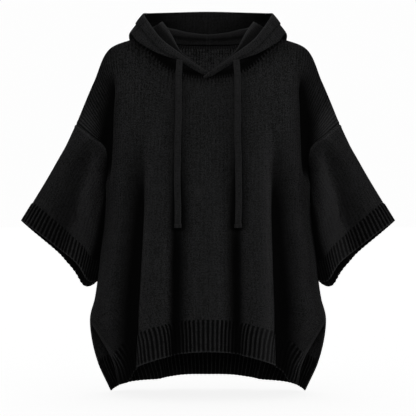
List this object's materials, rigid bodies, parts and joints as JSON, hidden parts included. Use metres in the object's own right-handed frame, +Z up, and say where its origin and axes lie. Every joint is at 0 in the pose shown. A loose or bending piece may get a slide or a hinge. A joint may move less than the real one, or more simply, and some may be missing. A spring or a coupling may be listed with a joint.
{
  "type": "hooded knitted pullover",
  "caption": "Loose knitted pullover with a drawstring hood lying back, wide half sleeves, ribbed cuffs and a ribbed hem lower at the back, filled out as when worn.",
  "frame": {"origin": "middle of the neck opening, in the plane of the shoulder seams, level with the tops of the shoulders", "axes": "+Z up, +X to the onlooker's right, front faces -Y"},
  "size_m": [0.8046, 0.2958, 0.8392],
  "materials": {
    "knit": "fine plain knit, matt, near black",
    "rib": "rib knit, matt, near black",
    "cord": "flat knitted cord, matt, near black"
  },
  "bodies": {
    "root": {"front_body": "knit", "back_body": "knit", "front_hem_rib": "rib", "back_hem_rib": "rib", "sleeve_left": "knit", "sleeve_right": "knit", "cuff_left": "rib", "cuff_right": "rib", "neckband": "rib", "hood_left": "knit", "hood_right": "knit", "hood_casing_left": "knit", "hood_casing_right": "knit", "drawcord_left": "cord", "drawcord_right": "cord", "cord_end_left": "cord", "cord_end_right": "cord"}
  },
  "joints": []
}
